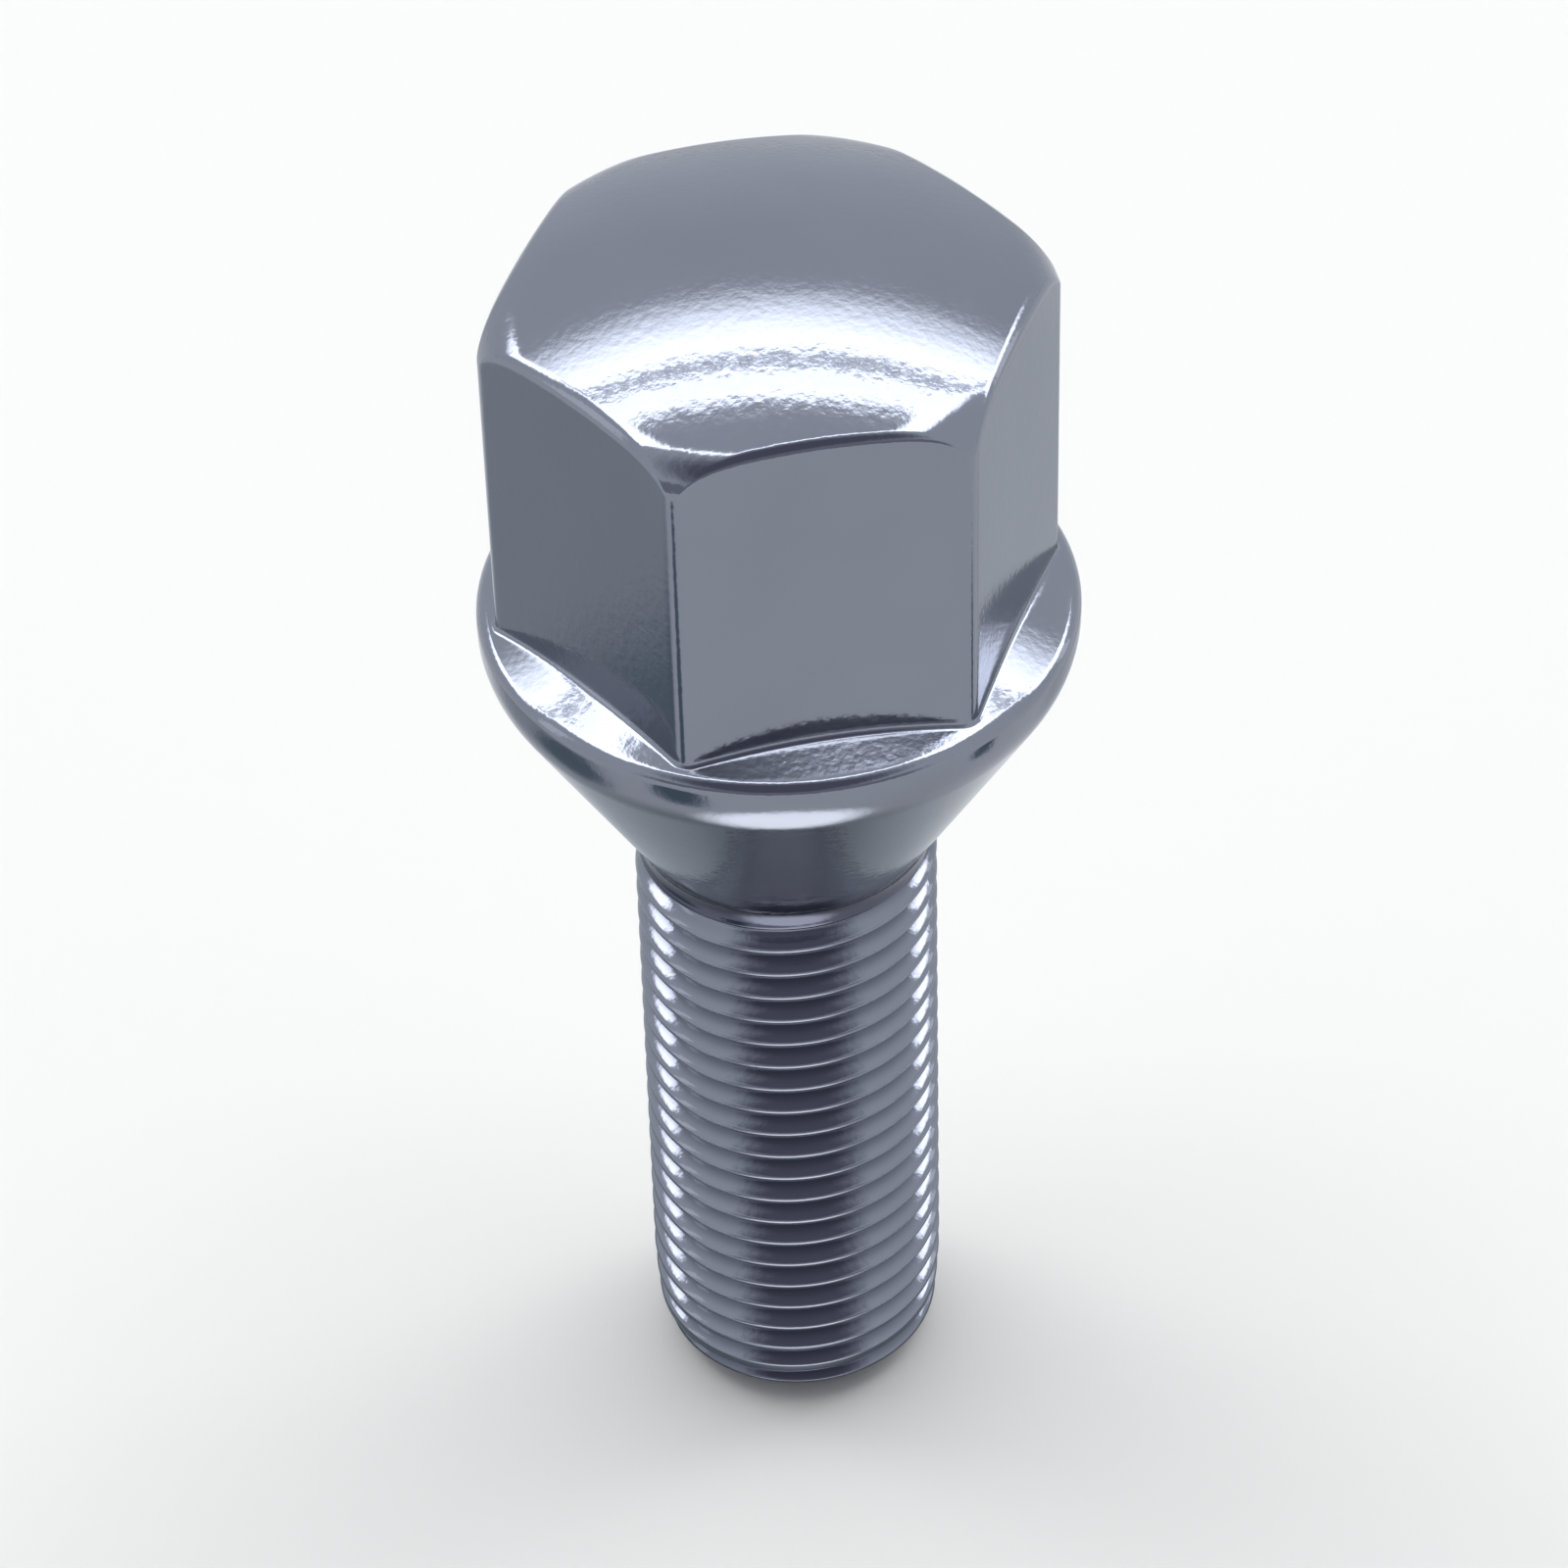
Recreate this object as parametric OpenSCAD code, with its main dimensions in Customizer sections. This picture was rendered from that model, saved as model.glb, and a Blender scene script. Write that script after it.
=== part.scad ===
/* [Shank] */
// Major diameter of the thread
thread_d = 12; // [10:0.5:14]
// Pitch of the thread, which sets the length of its run-out
thread_pitch = 1.25; // [1:0.25:2]
// Length from the end face to where the seat reaches the thread's diameter
shank_len = 28; // [20:0.5:60]
// Diameter of the flat end face
point_d = 9.2; // [8.4:0.1:9.8]
// Angle of the chamfer on the point, measured from the axis
point_angle = 45; // [30:5:60]
// Plain length of the neck, between the run-out of the thread and the seat's fillet
neck_len = 0.3; // [0.2:0.1:5]
// How much less the neck's radius is than the thread's
neck_cut = 0.25; // [0.1:0.05:0.5]

/* [Seat] */
// Included angle of the conical seat
seat_angle = 60; // [50:1:90]
// Radius of the hollow fillet between neck and seat
neck_fillet = 1.5; // [0.5:0.1:3]
// Largest diameter of the collar above the seat
collar_d = 23; // [22.5:0.1:30]
// Height of the collar, from the top of the cone to its rim
collar_h = 1.8; // [1.5:0.1:5]
// Radius that rounds the seat into the collar's side
seat_round = 3; // [0.5:0.1:3]
// Radius that rounds the collar's side into the ledge
ledge_round = 0.6; // [0.2:0.1:0.8]
// Slope of the ledge, down from the hexagon to the rim
ledge_slope = 20; // [0:1:30]

/* [Head] */
// Width of the hexagon across its flats
hex_af = 19; // [16:0.5:20]
// Height of the head from the collar's rim to the top of the crown
head_h = 15.9; // [8:0.1:20]
// Radius of the domed crown
crown_r = 26; // [20:0.5:60]
// Radius that rounds the crown down to the corners of the hexagon
shoulder_r = 1.2; // [0.5:0.1:4]
// Radius on the six upright edges of the hexagon
edge_round = 0.8; // [0.1:0.1:1.5]

/* [Hidden] */
$fn = 128;
ARC_STEPS = 6;
// Turns over which the thread fades into the neck
RUNOUT_TURNS = 2;
// How far the rounded shoulder stands clear of the hexagon's corners at its foot
SHOULDER_CLEAR = 0.05;
// Least upright side that the collar keeps between its two roundings
SIDE_MIN = 0.1;
// How far one form runs into the next, so that they make one solid
SINK = 1;

shank_r = thread_d / 2;
neck_r = shank_r - neck_cut;
point_len = (shank_r - point_d / 2) / tan(point_angle);
half_seat = seat_angle / 2;
foot_z = shank_len - (shank_r - neck_r) / tan(half_seat);
neck_z = foot_z - neck_fillet * tan(half_seat / 2) - neck_len;
runout_z = neck_z - RUNOUT_TURNS * thread_pitch;
collar_r = collar_d / 2;
collar_round = min(seat_round, (collar_h - ledge_round - SIDE_MIN) / tan(half_seat / 2));
cone_top = shank_len + (collar_r - shank_r) / tan(half_seat);
rim_z = cone_top + collar_h;
crown_z = rim_z + head_h;
crown_c = crown_z - crown_r;
corner_d = (hex_af - 2 * edge_round) / sqrt(3);
shoulder_x = corner_d + edge_round + SHOULDER_CLEAR - shoulder_r;
shoulder_z = crown_c + sqrt(pow(crown_r - shoulder_r, 2) - pow(shoulder_x, 2));
crown_tilt = asin(shoulder_x / (crown_r - shoulder_r));

// Points of an arc about c, from angle a to angle b
function arc(c, r, a, b) = [for (i = [0:ARC_STEPS])
    let (t = a + (b - a) * i / ARC_STEPS)
    [c[0] + r * cos(t), c[1] + r * sin(t)]];

// Rim of the ledge, and where the sloping ledge meets the inside of the hexagon
ledge_rim = arc([collar_r - ledge_round, rim_z - ledge_round], ledge_round, 0, 90 - ledge_slope);
ledge_in = hex_af / 2 - SINK;
ledge_top = ledge_rim[ARC_STEPS][1] + (ledge_rim[ARC_STEPS][0] - ledge_in) * tan(ledge_slope);

// The arc that touches the upright line x = line_r and the seat's cone where they meet at height z.
// side is 1 where the arc lies outside the line and -1 where it lies inside.
function seat_arc(line_r, z, r, side) =
    let (reach = r * tan(half_seat / 2))
    let (c = [line_r + side * r, z - side * reach])
    side > 0 ? arc(c, r, 180, 180 - half_seat) : arc(c, r, -half_seat, 0);

// Half section of everything below the hexagon, from the axis outward and up
function turned_section() = concat(
    [[0, 0], [point_d / 2, 0], [shank_r, point_len], [shank_r, runout_z], [neck_r, neck_z]],
    seat_arc(neck_r, foot_z, neck_fillet, 1),
    seat_arc(collar_r, cone_top, collar_round, -1),
    ledge_rim,
    [[ledge_in, ledge_top], [0, ledge_top]]);

// Half section that the crown is cut to: upright outside, rounded at the shoulder, open above the sphere
function shoulder_section() =
    let (rim = arc([shoulder_x, shoulder_z], shoulder_r, 0, 90 - crown_tilt))
    let (last = rim[ARC_STEPS])
    concat(
        [[0, rim_z - SINK], [rim[0][0], rim_z - SINK]],
        rim,
        [[0, last[1] + last[0] * tan(crown_tilt) + SINK]]);

// Outline of the hexagon, with its six corners rounded and two flats square to the Y axis
function hex_outline() = [for (k = [0:5])
    let (c = [corner_d * cos(60 * k), corner_d * sin(60 * k)])
    each arc(c, edge_round, 60 * k - 30, 60 * k + 30)];

// Shank, conical seat and collar, as one turned form
module turned_body() {
    rotate_extrude() polygon(turned_section());
}

// Hexagon with its domed crown, whose shoulder comes down lowest at the corners
module head() {
    intersection() {
        translate([0, 0, rim_z - SINK])
            linear_extrude(head_h + 2 * SINK) polygon(hex_outline());
        translate([0, 0, crown_c]) sphere(crown_r);
        rotate_extrude() polygon(shoulder_section());
    }
}

// The whole bolt stands on its end face, with its axis on Z
module wheel_bolt() {
    color("silver") union() {
        turned_body();
        head();
    }
}

wheel_bolt();
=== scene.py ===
"""A chromed wheel bolt that stands on its thread end, on a plain pale floor in soft studio light."""

from math import radians

import bpy
import numpy as np
from bpy.props import FloatProperty, FloatVectorProperty, IntProperty, PointerProperty
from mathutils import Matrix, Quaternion, Vector


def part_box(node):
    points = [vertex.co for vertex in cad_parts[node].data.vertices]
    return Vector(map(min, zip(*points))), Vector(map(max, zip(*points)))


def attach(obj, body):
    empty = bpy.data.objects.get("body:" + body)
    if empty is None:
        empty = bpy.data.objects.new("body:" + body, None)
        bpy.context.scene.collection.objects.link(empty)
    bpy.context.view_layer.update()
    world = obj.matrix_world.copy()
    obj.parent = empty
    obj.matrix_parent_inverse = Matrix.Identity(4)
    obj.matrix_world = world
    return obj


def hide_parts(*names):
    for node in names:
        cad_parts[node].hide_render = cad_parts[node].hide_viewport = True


bl_info = {
    "name": "Wheel Bolt",
    "version": (1, 0, 0),
    "blender": (4, 5, 0),
    "location": "View3D > Sidebar > Wheel Bolt",
    "description": "Makes a chromed wheel bolt with a rolled thread, and a plain studio to show it in",
    "category": "Add Mesh",
}

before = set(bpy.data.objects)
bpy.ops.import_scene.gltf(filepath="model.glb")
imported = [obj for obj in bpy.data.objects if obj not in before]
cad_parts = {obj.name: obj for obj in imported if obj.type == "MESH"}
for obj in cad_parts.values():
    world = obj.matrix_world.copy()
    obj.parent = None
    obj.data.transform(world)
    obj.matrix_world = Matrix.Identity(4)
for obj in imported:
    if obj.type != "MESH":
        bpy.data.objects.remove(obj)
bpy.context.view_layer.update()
NODE = "wheel_bolt"
BODY = "root"
LOW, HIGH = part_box(NODE)
MM = 0.001
MICRON = 1e-6
SIDES = 6
SECTOR = 2 * np.pi / SIDES

# Shares of the pitch, for a rolled thread whose crests are broader than the standard's least
CREST_FLAT = 0.2
THREAD_DEPTH = 0.55
FLANK_ANGLE = radians(30)
# How far the crests and roots are rounded off, and the edges that the lead and the chamfer cut on them
CREST_ROUND = 0.22 * MM
LEAD_ROUND = 0.05 * MM
CHAMFER_ROUND = 0.12 * MM
# Places along one pitch, in shares of it from the crest, where the thread's grid has its rows
PITCH_STEPS = (0, 0.035, 0.07, 0.11, 0.17, 0.24, 0.31, 0.37, 0.43)
# Height at which the thread's grid takes over from the end face
THREAD_START = 0.4 * MM
# How far the crown's shoulder stands clear of the hexagon's corners at its foot
SHOULDER_CLEAR = 0.05 * MM
# Share of the ledge's width that the fillet at the foot of the flats may take
FOOT_SHARE = 0.8

# Steps of the grid on an upright edge, and how much finer it is near the ends of a flat than in the middle
EDGE_STEPS = 8
FLAT_GRADING = 0.1
# Steps of the grid on the cone, and on arcs of three sizes
CONE_STEPS = 6
SMALL_STEPS = 4
HOLLOW_STEPS = 6
ROUND_STEPS = 8
# Rows of the end face, the ledge and the flats, in shares of the way across
FACE_ROWS = (0, 0.3, 0.6, 0.85, 0.97)
LEDGE_ROWS = (0, 0.15, 0.85)
FLAT_ROWS = (0.01, 0.04, 0.25, 0.5, 0.75, 0.96, 0.99)
# Rows of the crown, and the power that sets them closer together at its rim
CROWN_ROWS = 26
CROWN_GRADING = 1.6
# How close to the ends of a straight run its outer rows lie, at most this share of it, and its least length
END_MARGIN = 0.12 * MM
END_SHARE = 0.25
LEAST_RUN = 1e-9
# Points closer than this become one
WELD_STEP = 0.01 * MICRON

# Painted shade in the grooves: heights above the end face over which it comes in, depths below the foot of
# the seat over which it goes again, and how far below the thread's major radius it starts
GROOVE_START = (0.3 * MM, 1 * MM)
GROOVE_END = (2 * MM, 1 * MM)
GROOVE_LIP = 0.15 * MM
# Painted shade in the corner under the seat: depths below the seat's foot and heights above it over which it
# turns
CORNER_START = (1.3 * MM, 0.8 * MM)
CORNER_END = (0.5 * MM, 1.5 * MM)
# Width of the plate's slow drift, and the least and most that its colour and its roughness are multiplied by
DRIFT_SIZE = 6 * MM
TINT_DRIFT = (0.93, 1.07)
GLOSS_DRIFT = (0.7, 1.4)

# Soft edges of the ceiling light, each as the two places between which it fades. NEAR and FAR are steps back
# from the camera for each step up. ENDS, INNER and OUTER are steps to the side. The panel is the wide light,
# the seam a dark line in it, the wing a light at each end of it, the lobe the narrower light before it, and
# the gap a dark part of the lobe.
PANEL_NEAR = (0.39, 0.43)
PANEL_FAR = (0.56, 1.02)
PANEL_ENDS = (1.3, 1.9)
SEAM_NEAR = (0.466, 0.486)
SEAM_FAR = (0.526, 0.546)
SEAM_ENDS = (0.75, 0.95)
WING_NEAR = (0.46, 0.54)
WING_FAR = (1.1, 1.6)
WING_INNER = (0.98, 1.10)
WING_OUTER = (1.7, 2.4)
LOBE_NEAR = (-0.10, -0.07)
LOBE_ENDS = (0.60, 0.74)
GAP_NEAR = (-0.03, 0.01)
GAP_FAR = (0.32, 0.35)
GAP_ENDS = (0.35, 0.39)
# Least step up, which keeps those measures finite for level and falling directions
LEAST_RISE = 0.02
# Cosines of the angles from the middle of the dark patch at which it starts and is full
PATCH_EDGE = (0.74, 0.93)
# Sines of the elevations over which the top of the low strip fades, and cosines of its turn at its ends
STRIP_TOP = (0.26, 0.33)
STRIP_ENDS = (0.6, 0.75)

# Shapes on the floor that mirror rays find, each as x, y, turn, half length and half width, in metres and
# radians. Their edges are in shares of those halves. The first one is the floor close to the bolt.
NEAR_SHADE = (-0.005, 0.006, 0, 0.026, 0.026)
NEAR_EDGE = (0.5, 1.3)
# The dark shapes have a strength as well
FLOOR_SHADES = (
    (-0.058, 0.014, 0.35, 0.034, 0.028, 0.5),
    (-0.046, 0.003, 0.35, 0.017, 0.013, 0.9),
    (-0.045, -0.042, 0.70, 0.020, 0.010, 1.0),
    (0.052, -0.026, -0.345, 0.009, 0.005, 1.0),
    (0.050, 0.030, 0.70, 0.026, 0.022, 0.35),
)
SHADES_EDGE = (0.6, 1.3)
# The light patch in front of the thread: distance from the axis, half width and half depth, and its edge
GLOW_DISTANCE = 0.027
GLOW_SIZE = (0.016, 0.018)
GLOW_EDGE = (0.6, 1.2)

# Half the floor's width, and each side lamp's name, place, and width and height, in metres
FLOOR_HALF = 3.0
SIDE_LAMPS = (
    ("left_lamp", (-0.45, 0.05, 0.16), (0.08, 0.30)),
    ("right_lamp", (0.42, 0.12, 0.16), (0.06, 0.30)),
)
# Nearest distance that the camera sees, in metres
CLIP_START = 0.01
# Spacing of the nodes in a material's or the world's tree
NODE_WIDTH = 220
NODE_HEIGHT = 260


def length(name, description, default):
    """A length property in metres."""
    return FloatProperty(
        name=name,
        description=description,
        default=default,
        min=0,
        subtype="DISTANCE",
        unit="LENGTH",
        precision=5,
    )


def degrees(name, description, default):
    """An angle property, with its default in degrees."""
    return FloatProperty(name=name, description=description, default=radians(default), subtype="ANGLE")


def amount(name, description, default, least=0, most=1000):
    """A property that is a plain number."""
    return FloatProperty(name=name, description=description, default=default, min=least, max=most)


def colour(name, description, default, most=1):
    """A colour property. The colour of a light may be brighter than 1."""
    return FloatVectorProperty(
        name=name,
        description=description,
        default=default,
        min=0,
        max=most,
        subtype="COLOR",
    )


class BoltSizes(bpy.types.PropertyGroup):
    """Sizes of the bolt, in metres."""

    thread_d: length("Thread diameter", "Major diameter of the thread", 12 * MM)
    thread_pitch: length("Pitch", "Advance of the thread in one turn", 1.25 * MM)
    shank_len: length("Shank length", "End face to where the seat reaches the thread's diameter", 28 * MM)
    point_d: length("Point diameter", "Diameter of the flat end face", 9.2 * MM)
    point_round: length("Point rounding", "Radius between the end face and the chamfer", 0.25 * MM)
    point_lead: length("Lead", "Length over which the first crests grow to full height", 5 * MM)
    lead_drop: length("Lead drop", "How far the first crest stays below full height", 0.25 * MM)
    neck_len: length("Neck length", "Plain length between the last groove and the fillet", 0.05 * MM)
    neck_cut: length("Neck cut", "How much less the neck's radius is than the thread's", 0.25 * MM)
    runout_turns: amount("Run-out", "Turns over which the thread fades", 0.5, least=0.5)
    neck_fillet: length("Neck fillet", "Hollow radius between neck and seat", 1.5 * MM)
    seat_angle: degrees("Seat angle", "Included angle of the conical seat", 60)
    seat_round: length("Seat rounding", "Radius between the seat and the collar's side", 3 * MM)
    collar_d: length("Collar diameter", "Largest diameter of the collar", 2 * min(*HIGH.xy, *-LOW.xy))
    collar_h: length("Collar height", "Top of the cone to the collar's rim", 1.8 * MM)
    ledge_round: length("Ledge rounding", "Radius between the collar's side and the ledge", 0.6 * MM)
    ledge_slope: degrees("Ledge slope", "Slope of the ledge, down to the rim", 20)
    hex_af: length("Across flats", "Width of the hexagon across its flats", 19 * MM)
    head_top: length("Top", "End face to the top of the crown", HIGH.z - LOW.z)
    crown_r: length("Crown radius", "Radius of the domed crown", 26 * MM)
    shoulder_r: length("Shoulder radius", "Radius from the crown down to the corners", 2.2 * MM)
    crown_round: length("Crown rounding", "Radius between the crown and the flats", 0.6 * MM)
    edge_round: length("Edge rounding", "Radius on the hexagon's upright edges", 0.8 * MM)
    foot_fillet: length("Foot fillet", "Hollow radius where the flats meet the ledge", 0.25 * MM)
    columns: IntProperty(name="Columns", description="Columns of the grid on each flat", default=26, min=8)


class BoltFinish(bpy.types.PropertyGroup):
    """Finish of the bolt."""

    chrome: colour("Chrome", "Colour of the chrome plate", (0.25, 0.265, 0.31))
    # Painted shade: a darker chrome that the grooves and the corner under the seat take on
    recess_shade_chrome: colour("Recess shade chrome", "Colour of the painted shade in the grooves", (0.105, 0.11, 0.145))
    roughness: amount("Roughness", "Roughness of the plate", 0.09, most=1)
    peel_size: length("Peel size", "Width of the waves of the orange peel", 1.2 * MM)
    peel_depth: length("Peel depth", "Depth of the orange peel", 0.0055 * MM)
    grain_size: length("Grain size", "Width of the fine pits under the plate", 0.3 * MM)
    grain_depth: length("Grain depth", "Depth of the fine pits", 0.006 * MM)


class StageSettings(bpy.types.PropertyGroup):
    """Floor, light and camera."""

    floor_colour: colour("Floor", "Colour of the floor", (0.60, 0.60, 0.59))
    seen_colour: colour("Seen floor", "Colour of the floor to the camera", (0.70, 0.688, 0.648))
    mirrored_colour: colour("Mirrored shade", "Colour of the floor's dark shapes", (0.12, 0.155, 0.18))
    near_shade: amount("Near shade", "Strength of the shade on the floor close by", 0.6, most=1)
    front_glow: amount("Front glow", "Strength of the floor's light patch in front", 1.9)
    room_colour: colour("Room", "Colour of the light from all round", (0.80, 0.84, 0.90))
    patch_colour: colour("Patch", "Colour of the dark patch where the camera stands", (0.20, 0.20, 0.26))
    patch_height: degrees("Patch height", "Elevation of the middle of the dark patch", 44)
    panel_colour: colour("Panel", "Colour of the light on the ceiling", (4.4, 4.5, 4.7), most=20)
    strip_colour: colour("Strip", "Colour of the dim low strip in front", (0.38, 0.38, 0.45), most=20)
    side_power: amount("Side lamps", "Power of each side lamp in watts", 0.03)
    bearing: degrees("Bearing", "Camera's turn about the bolt, from -Y", -10.26)
    elevation: degrees("Elevation", "Camera's angle above the floor", 41.6)
    roll: degrees("Roll", "Camera's turn about its view, clockwise", 1.67)
    distance: length("Distance", "Camera to the point that it looks at", 226.7 * MM)
    aim: length("Aim", "Height on the bolt's axis that the camera looks at", 29.31 * MM)
    lens: amount("Lens", "Focal length in millimetres", 133.3)


def smoothstep(low, high, x):
    """0 below low, 1 above high, and 3t^2 - 2t^3 between."""
    t = np.clip((x - low) / (high - low), 0, 1)
    return t * t * (3 - 2 * t)


def soft_clamp(x, low, high, soft):
    """x held between low and high, with its two corners rounded off over about soft."""
    up = 0.5 * (x + low + np.sqrt((x - low) ** 2 + soft**2))
    return 0.5 * (up + high - np.sqrt((up - high) ** 2 + soft**2))


def soft_min(a, b, soft):
    """The lesser of a and b, rounded off over about soft where they cross."""
    return 0.5 * (a + b - np.sqrt((a - b) ** 2 + soft**2))


def corner_centre(sizes):
    """Distance from the axis to the centre of the arc on an upright edge."""
    return (sizes.hex_af - 2 * sizes.edge_round) / np.sqrt(3)


def corner_turn(sizes):
    """Half the angle, seen from the axis, that the arc on an upright edge takes."""
    return np.arctan2(sizes.edge_round / 2, corner_centre(sizes) + sizes.edge_round * np.sqrt(3) / 2)


def column_angles(sizes):
    """Angles of the grid's columns. Each upright edge has even steps, and each flat has steps that are finer
    near its ends, t - g sin(360 degrees t) with g the grading. The edges lie at 0, 60, 120 degrees and so
    on."""
    turn = corner_turn(sizes)
    corner = np.linspace(-turn, turn, EDGE_STEPS + 1)
    t = np.linspace(0, 1, sizes.columns + 1)[1:-1]
    graded = t - FLAT_GRADING * np.sin(2 * np.pi * t)
    flat = turn + (SECTOR - 2 * turn) * graded
    one = np.concatenate([corner, flat])
    return np.concatenate([one + k * SECTOR for k in range(SIDES)])


def hexagon_radius(sizes, angle):
    """Distance from the axis to the hexagon's outline: half the width over the cosine on a flat, and the far
    side of the edge's circle, d cos a + sqrt(r^2 - (d sin a)^2), near an edge."""
    corner = (angle + SECTOR / 2) % SECTOR - SECTOR / 2
    middle = angle % SECTOR - SECTOR / 2
    flat = sizes.hex_af / 2 / np.cos(middle)
    d = corner_centre(sizes)
    inside = np.maximum(sizes.edge_round**2 - (d * np.sin(corner)) ** 2, 0)
    on_arc = np.abs(corner) <= corner_turn(sizes)
    return np.where(on_arc, d * np.cos(corner) + np.sqrt(inside), flat)


def neck_radius(sizes):
    """Radius of the plain neck under the seat."""
    return sizes.thread_d / 2 - sizes.neck_cut


def seat_foot(sizes):
    """Height at which the cone would meet the neck."""
    return sizes.shank_len - sizes.neck_cut / np.tan(sizes.seat_angle / 2)


def thread_radius(sizes, angle, z):
    """Radius of the right-hand thread at an angle and height. x is the distance along the axis to the nearest
    crest, (z / pitch - angle / 360 degrees) less its nearest whole number. From there the wall drops at the
    flank angle, between crest and root. The lead and the chamfer cut the first crests, and the run-out fades
    the last."""
    pitch = sizes.thread_pitch
    turn = z / pitch - angle / (2 * np.pi)
    x = np.abs(turn - np.round(turn)) * pitch
    full = sizes.thread_d / 2
    depth = THREAD_DEPTH * pitch
    drop = soft_clamp((x - CREST_FLAT / 2 * pitch) / np.tan(FLANK_ANGLE), 0, depth, CREST_ROUND)
    lead = full - sizes.lead_drop * (1 - smoothstep(0, sizes.point_lead, z))
    chamfer = sizes.point_d / 2 + z
    wall = soft_min(soft_min(full - drop, lead, LEAD_ROUND), chamfer, CHAMFER_ROUND)
    end = seat_foot(sizes) - sizes.neck_fillet * np.tan(sizes.seat_angle / 4) - sizes.neck_len
    fade = smoothstep(end - sizes.runout_turns * pitch, end, z)
    return wall + fade * (neck_radius(sizes) - wall)


def place(radius, height, angle):
    """Points at cylinder coordinates, as rows of x, y, z."""
    radius, height, angle = np.broadcast_arrays(radius, height, angle)
    return np.stack([radius * np.cos(angle), radius * np.sin(angle), height], -1)


def thread_grid(sizes, angles, low, top):
    """Grid of the thread. Each row follows the helix, z = (row + angle / 360 degrees) pitch, so crests and
    roots keep their own rows all the way, and z is then held between the point and the neck."""
    half = np.array(PITCH_STEPS)
    steps = np.concatenate([half, [0.5], 1 - half[:0:-1]])
    turns = np.arange(-2, np.ceil(top / sizes.thread_pitch) + 1)
    rows = (turns[:, None] + steps[None, :]).ravel()
    z = np.clip((rows[:, None] + angles[None, :] / (2 * np.pi)) * sizes.thread_pitch, low, top)
    points = place(thread_radius(sizes, angles[None, :], z), z, angles[None, :])
    return points, len(steps)


def arc(centre, radius, start, end, steps):
    """Points of an arc about centre, as rows of radius and height."""
    t = np.linspace(start, end, steps + 1)
    return np.stack([centre[0] + radius * np.cos(t), centre[1] + radius * np.sin(t)], 1)


def between(start, end, steps):
    """Points inside a straight run. Two of them lie close to its ends, which keeps its shading straight."""
    start, end = np.array(start), np.array(end)
    margin = min(END_MARGIN / max(np.linalg.norm(end - start), LEAST_RUN), END_SHARE)
    t = np.linspace(margin, 1 - margin, steps + 1)[:, None]
    return start + t * (end - start)


def turned_profile(sizes):
    """Half section from the neck to the rim of the ledge: neck fillet, cone, rounded collar, as arcs joined
    by straight runs. Each arc touches both of the lines beside it."""
    half = sizes.seat_angle / 2
    neck, side = neck_radius(sizes), sizes.collar_d / 2
    hollow, rounding, edge = sizes.neck_fillet, sizes.seat_round, sizes.ledge_round
    cone_top = sizes.shank_len + (side - sizes.thread_d / 2) / np.tan(half)
    low_centre = (neck + hollow, seat_foot(sizes) - hollow * np.tan(half / 2))
    high_centre = (side - rounding, cone_top + rounding * np.tan(half / 2))
    rim_centre = (side - edge, cone_top + sizes.collar_h - edge)
    low = arc(low_centre, hollow, np.pi, np.pi - half, HOLLOW_STEPS)
    high = arc(high_centre, rounding, -half, 0, ROUND_STEPS)
    rim = arc(rim_centre, edge, 0, np.pi / 2 - sizes.ledge_slope, ROUND_STEPS)
    return np.concatenate([low, between(low[-1], high[0], CONE_STEPS), high, rim])


def run(r0, z0, r1, z1, shares):
    """Rows on the straight lines from r0, z0 to r1, z1, at shares of the way."""
    share = np.array(shares)[:, None]
    return r0 + share * (r1 - r0), z0 + share * (z1 - z0)


def bend(r0, z0, radius, start, end, steps):
    """Rows on the arcs about r0, z0, from angle start to end."""
    t = start + np.linspace(0, 1, steps + 1)[:, None] * (end - start)
    return r0 + radius * np.cos(t), z0 + radius * np.sin(t)


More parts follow.
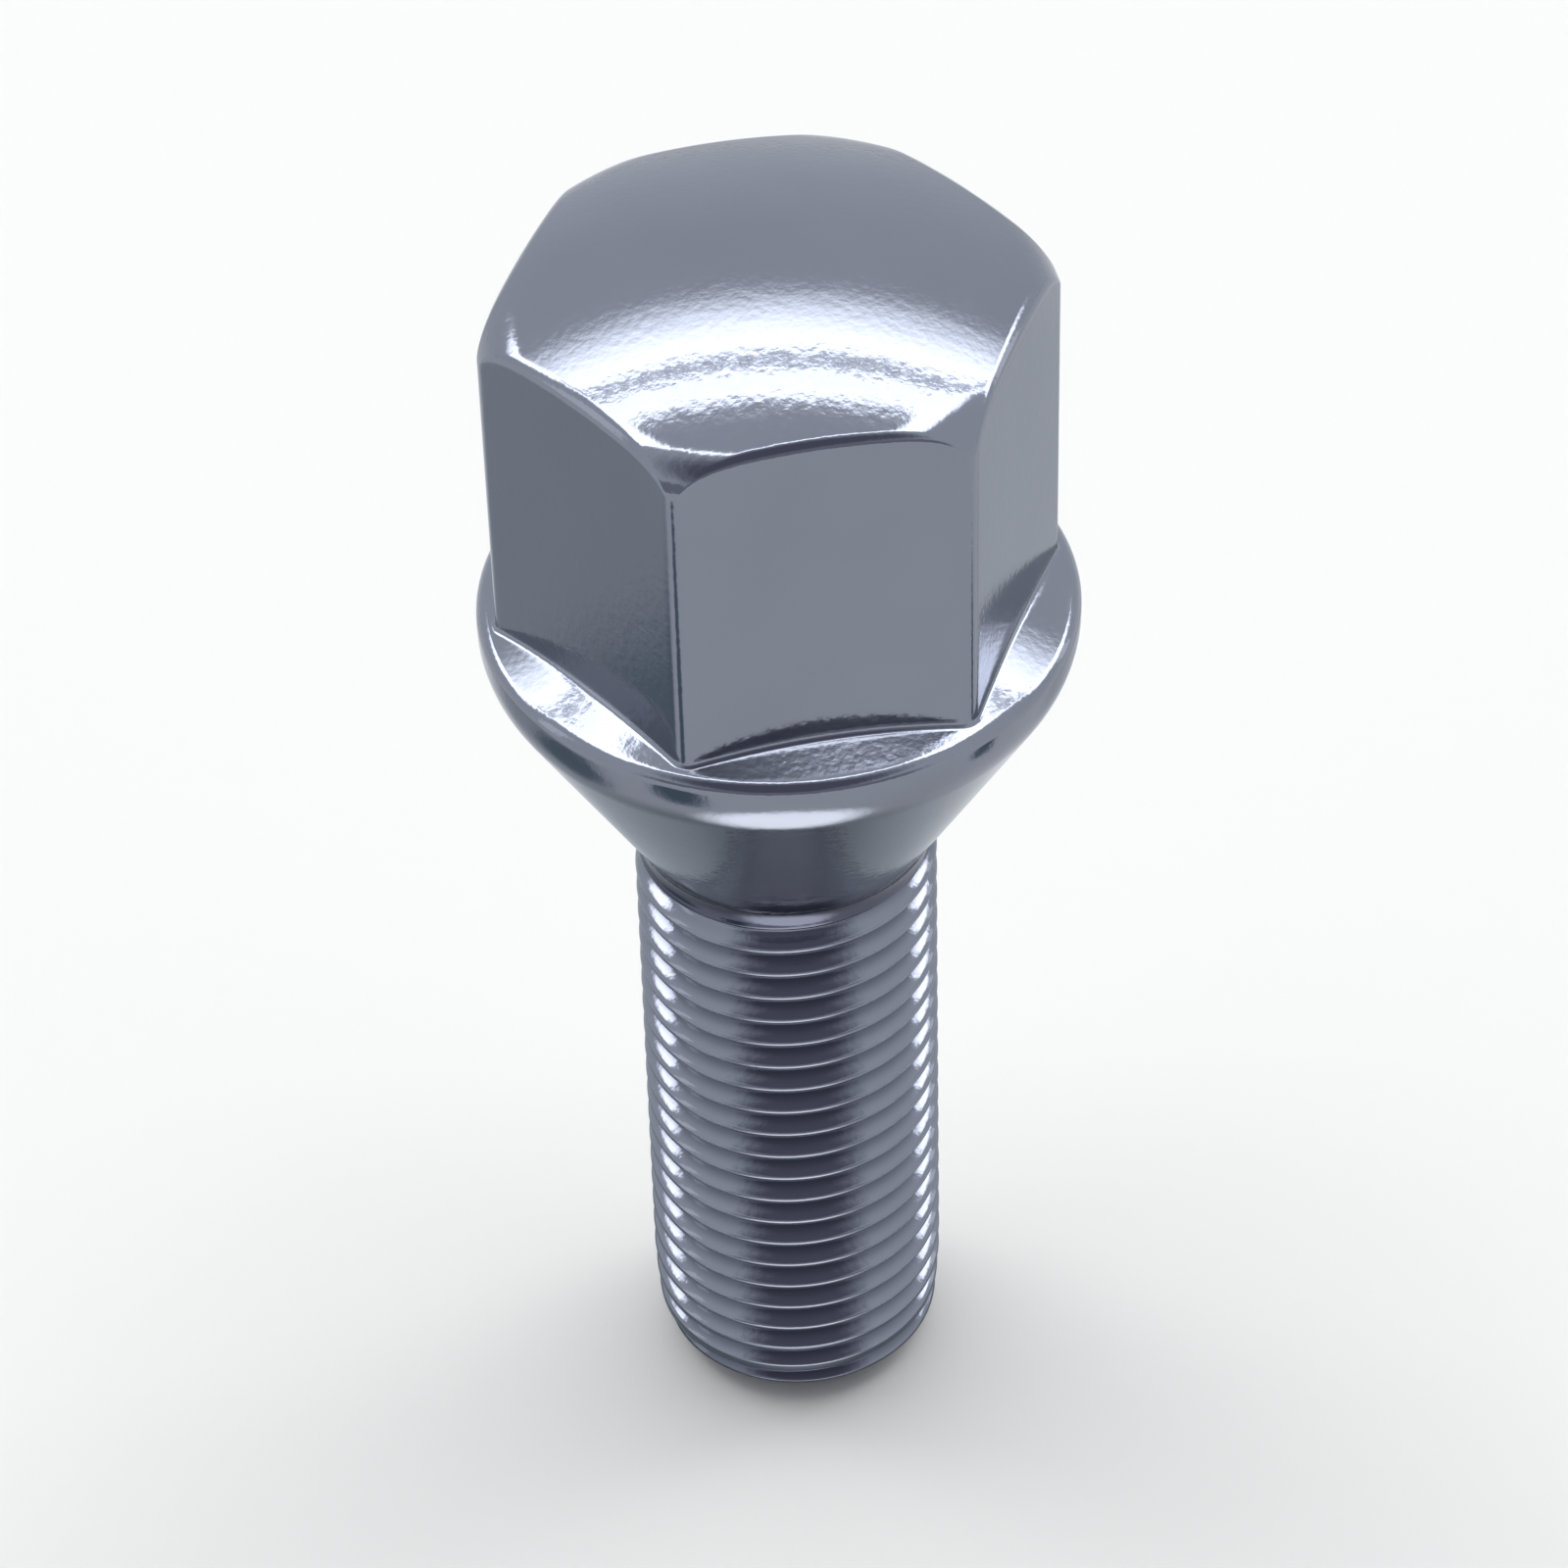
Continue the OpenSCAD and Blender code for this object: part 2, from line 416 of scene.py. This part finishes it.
def head_grid(sizes, angles, rim):
    """Grid of the hexagon head, in the half plane at each angle, with the hexagon's outline at distance R.
    The ledge climbs from the rim to a small hollow fillet at R, and the flat climbs to a fillet of radius e
    that touches both the flat and the crown. The crown is a sphere, with a shoulder of radius f on its rim,
    whose centre lies at distance a and f inside the sphere. So the fillet's centre lies at R - e, on the
    sphere or the shoulder made smaller by e. From there the crown's rows are shares of the way to the top."""
    outline = hexagon_radius(sizes, angles)
    slope = sizes.ledge_slope
    foot = np.minimum(sizes.foot_fillet, FOOT_SHARE * (rim[0] - outline))
    foot_r = outline + foot
    foot_z = rim[1] + (rim[0] - foot_r) * np.tan(slope) + foot / np.cos(slope)
    ledge_end = (foot_r - foot * np.sin(slope), foot_z - foot * np.cos(slope))

    sphere, f, e = sizes.crown_r, sizes.shoulder_r, sizes.crown_round
    centre = sizes.head_top - sphere
    a = outline.max() + SHOULDER_CLEAR - f
    shoulder = centre + np.sqrt((sphere - f) ** 2 - a**2)
    tilt = np.arcsin(a / (sphere - f))
    q = outline - e
    on_shoulder = q > (sphere - e) * np.sin(tilt)
    pole_r = np.where(on_shoulder, a, 0)
    pole_z = np.where(on_shoulder, shoulder, centre)
    reach = np.where(on_shoulder, f, sphere) - e
    top_z = pole_z + np.sqrt(reach**2 - (q - pole_r) ** 2)
    start = np.arctan2(top_z - pole_z, q - pole_r)

    share = (np.linspace(0, 1, CROWN_ROWS + 1)[1:] ** CROWN_GRADING)[:, None]
    meet = np.pi / 2 - tilt
    dome_start = np.maximum(start, meet)
    on_rim = f * np.maximum(meet - start, 0)
    on_dome = sphere * (np.pi / 2 - dome_start)
    way = share * (on_rim + on_dome)
    rounded = way < on_rim
    turn = np.where(rounded, start + way / f, dome_start + (way - on_rim) / sphere)
    crown_r = np.where(rounded, a + f * np.cos(turn), sphere * np.cos(turn))
    crown_z = np.where(rounded, shoulder + f * np.sin(turn), centre + sphere * np.sin(turn))
    crown_r[-1] = 0

    parts = [
        run(rim[0] + 0 * outline, rim[1], *ledge_end, LEDGE_ROWS),
        bend(foot_r, foot_z, foot, -np.pi / 2 - slope, -np.pi, SMALL_STEPS),
        run(outline, foot_z, outline, top_z, FLAT_ROWS),
        bend(q, top_z, e, 0, start, ROUND_STEPS),
        (crown_r, crown_z),
    ]
    radius = np.concatenate([np.broadcast_to(r, (len(z), len(angles))) for r, z in parts])
    height = np.concatenate([np.broadcast_to(z, (len(z), len(angles))) for _, z in parts])
    return place(radius, height, angles[None, :])


def end_grid(sizes, angles, low):
    """Grid of the flat end face, its rounding into the chamfer at 45 degrees, and the thread's first row."""
    rim = sizes.point_d / 2
    reach = sizes.point_round * np.tan(np.pi / 8)
    shares = np.array(FACE_ROWS)
    face = np.stack([(rim - reach) * shares, 0 * shares], 1)
    edge_centre = (rim - reach, sizes.point_round)
    edge = arc(edge_centre, sizes.point_round, -np.pi / 2, -np.pi / 4, SMALL_STEPS)
    profile = np.concatenate([face, edge])
    last = place(thread_radius(sizes, angles[None, :], low), low, angles[None, :])
    return np.concatenate([place(profile[:, :1], profile[:, 1:], angles[None, :]), last])


def grid_faces(rows, columns, first, step):
    """Quads of a grid that closes on itself. The last column joins the first one step rows further up."""
    row, column = np.meshgrid(np.arange(rows - 1), np.arange(columns), indexing="ij")
    follow = (column + 1) % columns
    rise = np.where(column == columns - 1, step, 0)
    here = row * columns
    there = (row + rise) * columns
    corners = [here + column, there + follow, there + columns + follow, here + columns + column]
    quads = np.stack(corners, -1).reshape(-1, 4)
    inside = (row + 1 + rise < rows).ravel()
    return quads[inside] + first


def weld(points, quads):
    """Points that coincide become one, and quads that shrink to a triangle or to nothing follow."""
    keys = np.round(points / WELD_STEP).astype(np.int64)
    _, first, index = np.unique(keys, axis=0, return_index=True, return_inverse=True)
    quads = index.reshape(-1)[quads]
    distinct = quads != np.roll(quads, 1, axis=1)
    corners = distinct.sum(1)
    triangles = quads[corners == 3][distinct[corners == 3]].reshape(-1, 3)
    return points[first], quads[corners == 4], triangles


def bolt_mesh(sizes):
    """The whole surface as one closed mesh: end face, thread, neck, seat, collar and head, each a grid of two
    parameters that ends on the ring where the next one starts."""
    angles = column_angles(sizes)
    profile = turned_profile(sizes)
    thread, step = thread_grid(sizes, angles, THREAD_START, profile[0, 1])
    turned = place(profile[:, :1], profile[:, 1:], angles[None, :])
    head = head_grid(sizes, angles, profile[-1])
    blocks = [(end_grid(sizes, angles, THREAD_START), 0), (thread, step), (turned, 0), (head, 0)]
    points, quads, first = [], [], 0
    for grid, rise in blocks:
        rows, columns = grid.shape[:2]
        points.append(grid.reshape(-1, 3))
        quads.append(grid_faces(rows, columns, first, rise))
        first += rows * columns
    points, quads, triangles = weld(np.concatenate(points), np.concatenate(quads))
    mesh = bpy.data.meshes.new("wheel_bolt_surface")
    mesh.from_pydata(points.tolist(), [], quads.tolist() + triangles.tolist())
    mesh.polygons.foreach_set("use_smooth", np.ones(len(mesh.polygons), bool))
    mesh.update()
    return mesh, points


def painted_recess_shade(sizes, points):
    """Painted shade: 1 in the roots of the thread and in the corner under the seat, 0 on the crests and
    everywhere else.
    """
    radius = np.hypot(points[:, 0], points[:, 1])
    z = points[:, 2]
    foot = seat_foot(sizes)
    crest = sizes.thread_d / 2
    root = crest - THREAD_DEPTH * sizes.thread_pitch
    along = smoothstep(*GROOVE_START, z) * (1 - smoothstep(foot - GROOVE_END[0], foot - GROOVE_END[1], z))
    groove = (1 - smoothstep(root, crest - GROOVE_LIP, radius)) * along
    below = smoothstep(foot - CORNER_START[0], foot - CORNER_START[1], z)
    above = smoothstep(foot + CORNER_END[0], foot + CORNER_END[1], z)
    return np.maximum(groove, below * (1 - above))


def add_node(tree, kind, **values):
    """A shader node of a kind, with values for its sockets."""
    node = tree.nodes.new(kind)
    for name, value in values.items():
        node.inputs[name].default_value = value
    return node


def calc(tree, operation, a, b):
    """One operation on two numbers or outputs."""
    node = tree.nodes.new("ShaderNodeMath")
    node.operation = operation
    for socket, value in zip(node.inputs, (a, b)):
        if isinstance(value, (int, float)):
            socket.default_value = value
        else:
            tree.links.new(value, socket)
    return node.outputs["Value"]


def ramp(tree, value, edge):
    """A soft step of a value, from 0 to 1 between the two numbers of edge."""
    node = add_node(tree, "ShaderNodeMapRange")
    node.interpolation_type = "SMOOTHSTEP"
    node.inputs["From Min"].default_value = edge[0]
    node.inputs["From Max"].default_value = edge[1]
    tree.links.new(value, node.inputs["Value"])
    return node.outputs["Result"]


def fade(tree, value, edge):
    """A soft step of a value, from 1 down to 0 between the two numbers of edge."""
    return calc(tree, "SUBTRACT", 1, ramp(tree, value, edge))


def band(tree, value, low, high):
    """1 between two soft edges and 0 outside them."""
    return calc(tree, "SUBTRACT", ramp(tree, value, low), ramp(tree, value, high))


def blend(tree, factor, a, b):
    """A mix of two colours or outputs, all a where the factor is 0 and all b where it is 1."""
    node = tree.nodes.new("ShaderNodeMix")
    node.data_type = "RGBA"
    for socket, value in ((node.inputs["A"], a), (node.inputs["B"], b)):
        if hasattr(value, "links"):
            tree.links.new(value, socket)
        else:
            socket.default_value = [*value, 1]
    tree.links.new(factor, node.inputs["Factor"])
    return node.outputs["Result"]


def reach_from(tree, centre, turn, size):
    """How far out a place on the floor lies from an ellipse's centre, in shares of the way to its outline.
    The ellipse has half sizes size and is turned by turn."""
    place_node = add_node(tree, "ShaderNodeTexCoord")
    local = add_node(
        tree,
        "ShaderNodeMapping",
        Location=(*centre, 0),
        Rotation=(0, 0, turn),
        Scale=(*size, 1),
    )
    local.vector_type = "TEXTURE"
    tree.links.new(place_node.outputs["Object"], local.inputs["Vector"])
    measure = tree.nodes.new("ShaderNodeVectorMath")
    measure.operation = "LENGTH"
    tree.links.new(local.outputs["Vector"], measure.inputs[0])
    return measure.outputs["Value"]


def lay_out(tree):
    """Sets the nodes in columns, each one left of all the nodes that it feeds."""
    column = {node.name: 0 for node in tree.nodes}
    for _ in tree.nodes:
        for link in tree.links:
            least = column[link.to_node.name] + 1
            column[link.from_node.name] = max(column[link.from_node.name], least)
    filled = {}
    for node in tree.nodes:
        row = filled.get(column[node.name], 0)
        filled[column[node.name]] = row + 1
        node.location = (-NODE_WIDTH * column[node.name], -NODE_HEIGHT * row)


def chrome_material(finish):
    """Bright plate over a forging. Its colour drifts faintly, and is painted darker in the thread's grooves
    and in the corner under the seat, as painted shade. Two noises on object coordinates give the orange peel
    and the fine pits."""
    material = bpy.data.materials.new("bright_chrome")
    material.use_nodes = True
    tree = material.node_tree
    shader = tree.nodes["Principled BSDF"]
    shader.inputs["Metallic"].default_value = 1.0
    link = tree.links.new

    place_node = add_node(tree, "ShaderNodeTexCoord")
    drift = add_node(tree, "ShaderNodeTexNoise", Scale=1 / DRIFT_SIZE, Detail=2.0)
    peel = add_node(tree, "ShaderNodeTexNoise", Scale=1 / finish.peel_size, Detail=1.5)
    grain = add_node(tree, "ShaderNodeTexNoise", Scale=1 / finish.grain_size, Detail=2.0)
    for noise in (drift, peel, grain):
        link(place_node.outputs["Object"], noise.inputs["Vector"])

    # Painted shade: the chrome is mixed towards a darker colour in the grooves and the corner under the seat
    recess_shade = add_node(tree, "ShaderNodeAttribute")
    recess_shade.attribute_name = "painted_recess_shade"
    darkest, lightest = [[part * change for part in finish.chrome] for change in TINT_DRIFT]
    tint = blend(tree, drift.outputs["Fac"], darkest, lightest)
    tint = blend(tree, recess_shade.outputs["Fac"], tint, finish.recess_shade_chrome)
    link(tint, shader.inputs["Base Color"])

    gloss = add_node(tree, "ShaderNodeMapRange")
    gloss.inputs["To Min"].default_value = finish.roughness * GLOSS_DRIFT[0]
    gloss.inputs["To Max"].default_value = finish.roughness * GLOSS_DRIFT[1]
    link(grain.outputs["Fac"], gloss.inputs["Value"])
    link(gloss.outputs["Result"], shader.inputs["Roughness"])

    wave = add_node(tree, "ShaderNodeBump", Strength=1.0, Distance=finish.peel_depth)
    link(peel.outputs["Fac"], wave.inputs["Height"])
    pits = add_node(tree, "ShaderNodeBump", Strength=1.0, Distance=finish.grain_depth)
    link(grain.outputs["Fac"], pits.inputs["Height"])
    link(wave.outputs["Normal"], pits.inputs["Normal"])
    link(pits.outputs["Normal"], shader.inputs["Normal"])
    lay_out(tree)
    return material


def floor_material(settings):
    """Matt pale floor. The camera sees it whiter than the bolt's plate mirrors it. What the plate mirrors is
    darker close to the bolt, has a few dark shapes, and has a light patch in front of the thread."""
    material = bpy.data.materials.new("pale_floor")
    material.use_nodes = True
    tree = material.node_tree
    shader = tree.nodes["Principled BSDF"]
    shader.inputs["Roughness"].default_value = 0.9
    shader.inputs["Specular IOR Level"].default_value = 0.1
    ray = add_node(tree, "ShaderNodeLightPath")
    glossy = ray.outputs["Is Glossy Ray"]

    def darken(base, x, y, turn, long, wide, strength, edge):
        reach = reach_from(tree, (x, y), turn, (long, wide))
        inside = calc(tree, "MULTIPLY", fade(tree, reach, edge), strength)
        return blend(tree, inside, base, settings.mirrored_colour)

    base = darken(settings.floor_colour, *NEAR_SHADE, settings.near_shade, NEAR_EDGE)
    for shade in FLOOR_SHADES:
        base = darken(base, *shade, SHADES_EDGE)
    base = blend(tree, glossy, settings.floor_colour, base)
    base = blend(tree, ray.outputs["Is Camera Ray"], base, settings.seen_colour)
    tree.links.new(base, shader.inputs["Base Color"])

    bearing = settings.bearing
    middle = (np.sin(bearing) * GLOW_DISTANCE, -np.cos(bearing) * GLOW_DISTANCE)
    reach = reach_from(tree, middle, 0, GLOW_SIZE)
    glow = calc(tree, "MULTIPLY", fade(tree, reach, GLOW_EDGE), settings.front_glow)
    glow = calc(tree, "MULTIPLY", glow, glossy)
    shader.inputs["Emission Color"].default_value = (1, 1, 1, 1)
    tree.links.new(glow, shader.inputs["Emission Strength"])
    lay_out(tree)
    return material


class WHEELBOLT_OT_make_bolt(bpy.types.Operator):
    """Make the bolt with its rolled thread and chrome plate"""

    bl_idname = "wheelbolt.make_bolt"
    bl_label = "Make Bolt"

    def execute(self, context):
        sizes = context.scene.bolt_sizes
        mesh, points = bolt_mesh(sizes)
        # Painted shade in the grooves and the corner under the seat, kept on the mesh's points
        recess_shade = mesh.attributes.new("painted_recess_shade", "FLOAT", "POINT")
        recess_shade.data.foreach_set("value", painted_recess_shade(sizes, points).astype(np.float32))
        bolt = bpy.data.objects.new("chromed_bolt", mesh)
        context.scene.collection.objects.link(bolt)
        mesh.materials.append(chrome_material(context.scene.bolt_finish))
        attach(bolt, BODY)
        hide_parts(NODE)
        return {"FINISHED"}


def studio_world(scene, settings):
    """Even light from all round, a light on the ceiling, a dark patch where the camera stands, and a dim low
    strip in front. A direction's place on the ceiling is v, how far it leans back from the camera for each
    step up, and u, how far it leans to the side. There the light is a wide panel with a seam, whose near edge
    is sharp and whose far edge fades out, a wing at each end of it, and a lobe before it that has a gap."""
    world = bpy.data.worlds.new("studio")
    world.use_nodes = True
    scene.world = world
    tree = world.node_tree
    bearing, lift = settings.bearing, settings.patch_height
    front = Vector((np.sin(bearing), -np.cos(bearing), 0))
    side = Vector((np.cos(bearing), np.sin(bearing), 0))
    up = Vector((0, 0, 1))
    direction = add_node(tree, "ShaderNodeTexCoord")

    def along(axis):
        node = tree.nodes.new("ShaderNodeVectorMath")
        node.operation = "DOT_PRODUCT"
        node.inputs[1].default_value = axis
        tree.links.new(direction.outputs["Generated"], node.inputs[0])
        return node.outputs["Value"]

    height, forward = along(up), along(front)
    rise = calc(tree, "MAXIMUM", height, LEAST_RISE)
    v = calc(tree, "DIVIDE", calc(tree, "MULTIPLY", forward, -1), rise)
    u = calc(tree, "ABSOLUTE", calc(tree, "DIVIDE", along(side), rise), 0)

    def light(near, far, ends):
        return calc(tree, "MULTIPLY", band(tree, v, near, far), fade(tree, u, ends))

    panel = light(PANEL_NEAR, PANEL_FAR, PANEL_ENDS)
    seam = light(SEAM_NEAR, SEAM_FAR, SEAM_ENDS)
    panel = calc(tree, "MULTIPLY", panel, calc(tree, "SUBTRACT", 1, seam))
    lobe = light(LOBE_NEAR, PANEL_NEAR, LOBE_ENDS)
    gap = light(GAP_NEAR, GAP_FAR, GAP_ENDS)
    lobe = calc(tree, "MAXIMUM", calc(tree, "SUBTRACT", lobe, gap), 0)
    wing_span = band(tree, u, WING_INNER, WING_OUTER)
    wing = calc(tree, "MULTIPLY", band(tree, v, WING_NEAR, WING_FAR), wing_span)
    ceiling = calc(tree, "MAXIMUM", calc(tree, "MAXIMUM", panel, lobe), wing)

    patch = ramp(tree, along(front * np.cos(lift) + up * np.sin(lift)), PATCH_EDGE)
    strip = calc(tree, "MULTIPLY", fade(tree, height, STRIP_TOP), ramp(tree, forward, STRIP_ENDS))
    room = blend(tree, patch, settings.room_colour, settings.patch_colour)
    room = blend(tree, strip, room, settings.strip_colour)
    room = blend(tree, ceiling, room, settings.panel_colour)
    tree.links.new(room, tree.nodes["Background"].inputs["Color"])
    lay_out(tree)


def add_lamp(scene, name, spot, target, size, power):
    """Area lamp of a width and height that looks at target."""
    data = bpy.data.lights.new(name, "AREA")
    data.shape = "RECTANGLE"
    data.size, data.size_y = size
    data.energy = power
    lamp = bpy.data.objects.new(name, data)
    lamp.location = spot
    lamp.rotation_euler = (Vector(target) - Vector(spot)).to_track_quat("-Z", "Y").to_euler()
    scene.collection.objects.link(lamp)


def add_camera(scene, settings, aim):
    """Camera that looks at aim from a distance, turned about its view by the roll."""
    bearing, elevation = settings.bearing, settings.elevation
    level = np.cos(elevation)
    towards = Vector((np.sin(bearing) * level, -np.cos(bearing) * level, np.sin(elevation)))
    data = bpy.data.cameras.new("camera")
    data.lens = settings.lens
    data.clip_start = CLIP_START
    camera = bpy.data.objects.new("camera", data)
    camera.location = aim + towards * settings.distance
    turn = Quaternion((0, 0, 1), -settings.roll)
    camera.rotation_euler = ((-towards).to_track_quat("-Z", "Y") @ turn).to_euler()
    scene.collection.objects.link(camera)
    scene.camera = camera


class WHEELBOLT_OT_make_stage(bpy.types.Operator):
    """Make the pale floor, the lamps, the room's light and the camera"""

    bl_idname = "wheelbolt.make_stage"
    bl_label = "Make Stage"

    def execute(self, context):
        scene = context.scene
        settings = scene.stage_settings
        corners = [(x * FLOOR_HALF, y * FLOOR_HALF, 0) for x, y in ((-1, -1), (1, -1), (1, 1), (-1, 1))]
        mesh = bpy.data.meshes.new("floor")
        mesh.from_pydata(corners, [], [(0, 1, 2, 3)])
        mesh.materials.append(floor_material(settings))
        floor = bpy.data.objects.new("floor", mesh)
        scene.collection.objects.link(floor)

        aim = Vector((0, 0, settings.aim))
        add_camera(scene, settings, aim)
        studio_world(scene, settings)
        for name, spot, size in SIDE_LAMPS:
            add_lamp(scene, name, spot, aim, size, settings.side_power)
        scene.view_settings.view_transform = "Standard"
        return {"FINISHED"}


class WHEELBOLT_PT_panel(bpy.types.Panel):
    """Lists what can be made"""

    bl_idname = "WHEELBOLT_PT_panel"
    bl_label = "Wheel Bolt"
    bl_space_type = "VIEW_3D"
    bl_region_type = "UI"
    bl_category = "Wheel Bolt"

    def draw(self, context):
        for operator in OPERATORS:
            self.layout.operator(operator.bl_idname)
        for group in (context.scene.bolt_sizes, context.scene.bolt_finish, context.scene.stage_settings):
            box = self.layout.box()
            for name in group.bl_rna.properties.keys():
                if name not in {"rna_type", "name"}:
                    box.prop(group, name)


OPERATORS = (WHEELBOLT_OT_make_bolt, WHEELBOLT_OT_make_stage)
GROUPS = {"bolt_sizes": BoltSizes, "bolt_finish": BoltFinish, "stage_settings": StageSettings}


def register():
    for cls in (*GROUPS.values(), *OPERATORS, WHEELBOLT_PT_panel):
        bpy.utils.register_class(cls)
    for name, group in GROUPS.items():
        setattr(bpy.types.Scene, name, PointerProperty(type=group))


def unregister():
    for name in GROUPS:
        delattr(bpy.types.Scene, name)
    for cls in (WHEELBOLT_PT_panel, *OPERATORS, *GROUPS.values()):
        bpy.utils.unregister_class(cls)


def main():
    register()
    bpy.ops.wheelbolt.make_bolt()
    bpy.ops.wheelbolt.make_stage()


if __name__ == "__main__":
    main()
